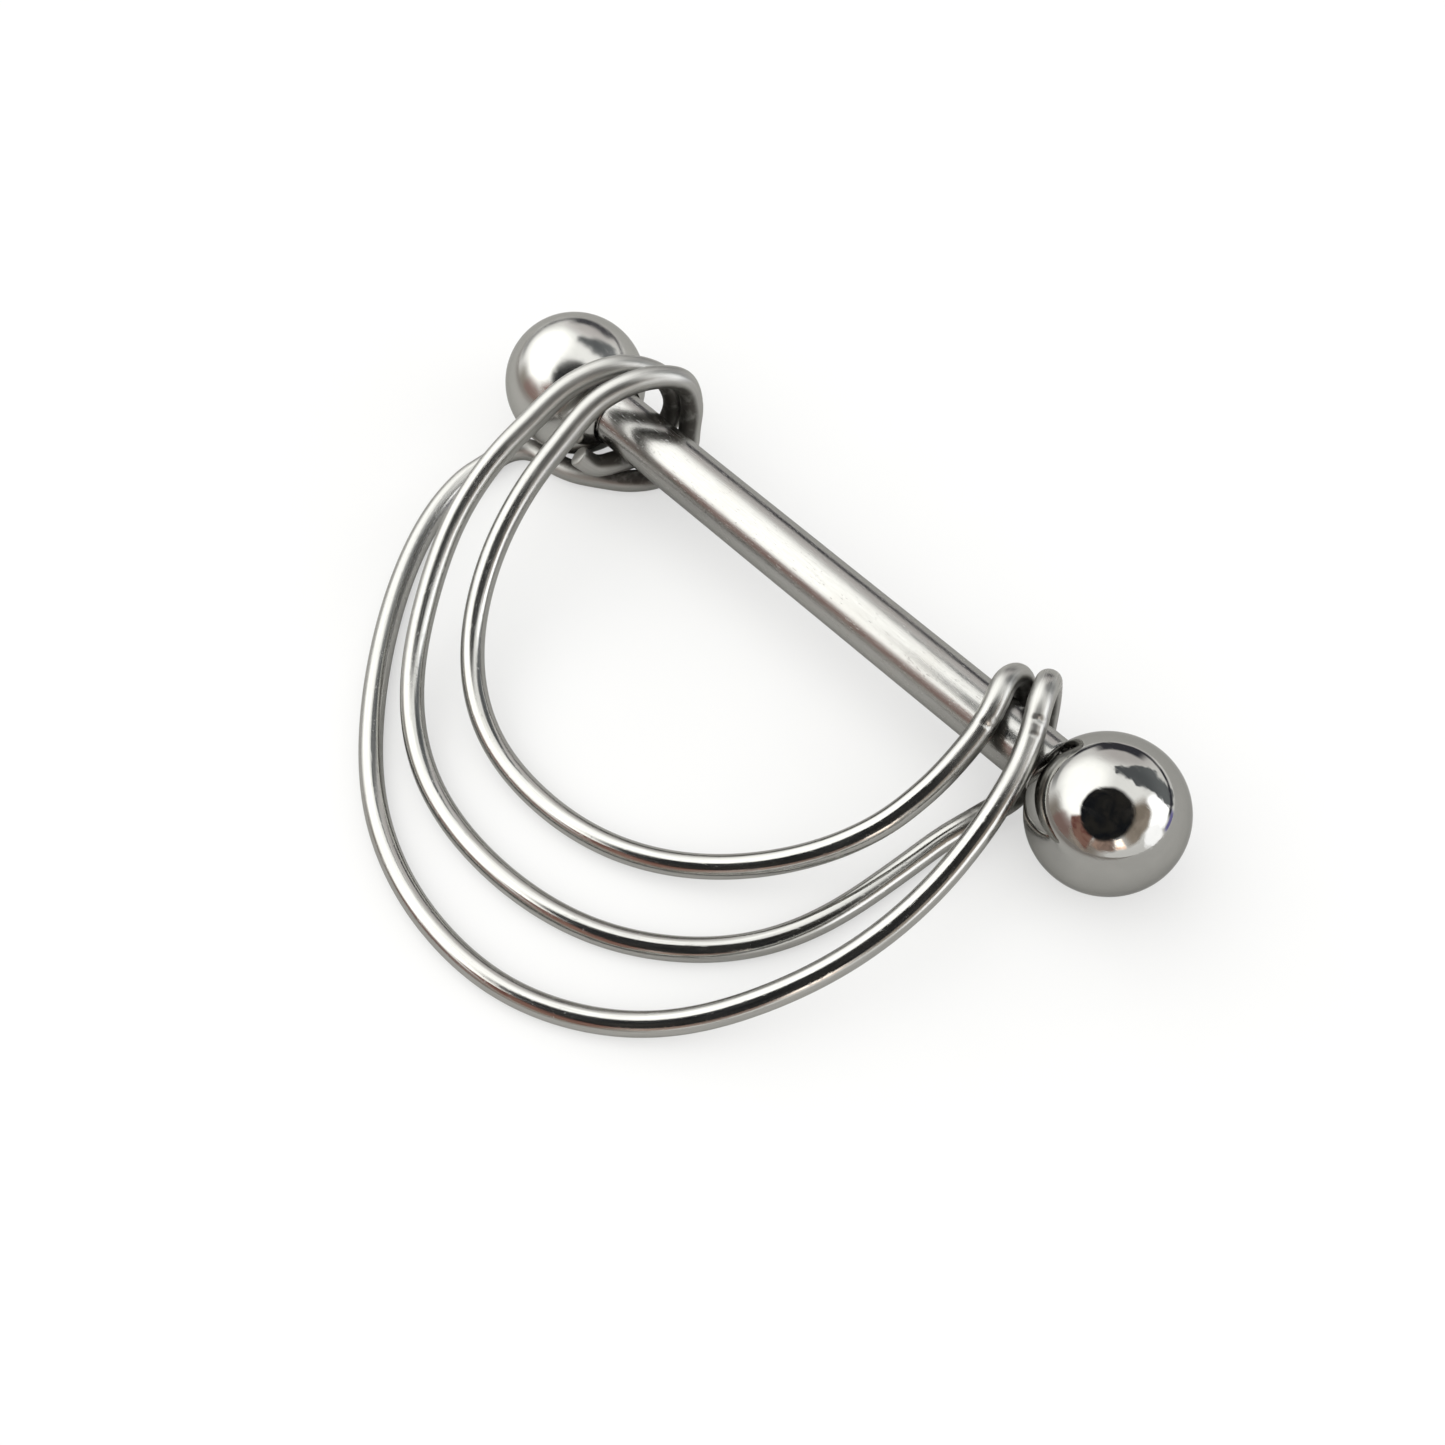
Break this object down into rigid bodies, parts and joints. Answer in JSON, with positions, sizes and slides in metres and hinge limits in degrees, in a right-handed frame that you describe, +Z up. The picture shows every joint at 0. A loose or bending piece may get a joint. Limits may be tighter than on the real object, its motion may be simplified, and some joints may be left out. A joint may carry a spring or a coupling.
{
  "type": "barbell with bent wire dangle",
  "caption": "Straight body barbell with screw-on end balls and one wire coiled round the bar at both ends and bent into nested bows that hang below it.",
  "frame": {"origin": "middle of the plain bar, on its axis", "axes": "+X along the bar, +Z up from the surface the part lies on, bows reach towards -Y"},
  "size_m": [0.0236, 0.0156, 0.0044],
  "materials": {
    "bar_steel": "satin-polished stainless steel with fine lengthwise marks",
    "ball_steel": "mirror-polished stainless steel",
    "wire_steel": "bright drawn stainless steel wire with faint drawing lines"
  },
  "bodies": {
    "bar": {"barbell_shaft": "bar_steel"},
    "left_ball": {"ball_left": "ball_steel"},
    "right_ball": {"ball_right": "ball_steel"},
    "dangle": {"bow_wire": "wire_steel"}
  },
  "joints": [
    {"name": "wire_swing", "type": "hinge", "parent": "bar", "child": "dangle", "pos_m": [0, 0, 0], "axis": [1, 0, 0], "continuous": true},
    {"name": "left_ball_unscrew", "type": "slide", "parent": "bar", "child": "left_ball", "axis": [-1, 0, 0], "range_m": [0, 0.006]},
    {"name": "right_ball_unscrew", "type": "slide", "parent": "bar", "child": "right_ball", "axis": [1, 0, 0], "range_m": [0, 0.006]}
  ]
}
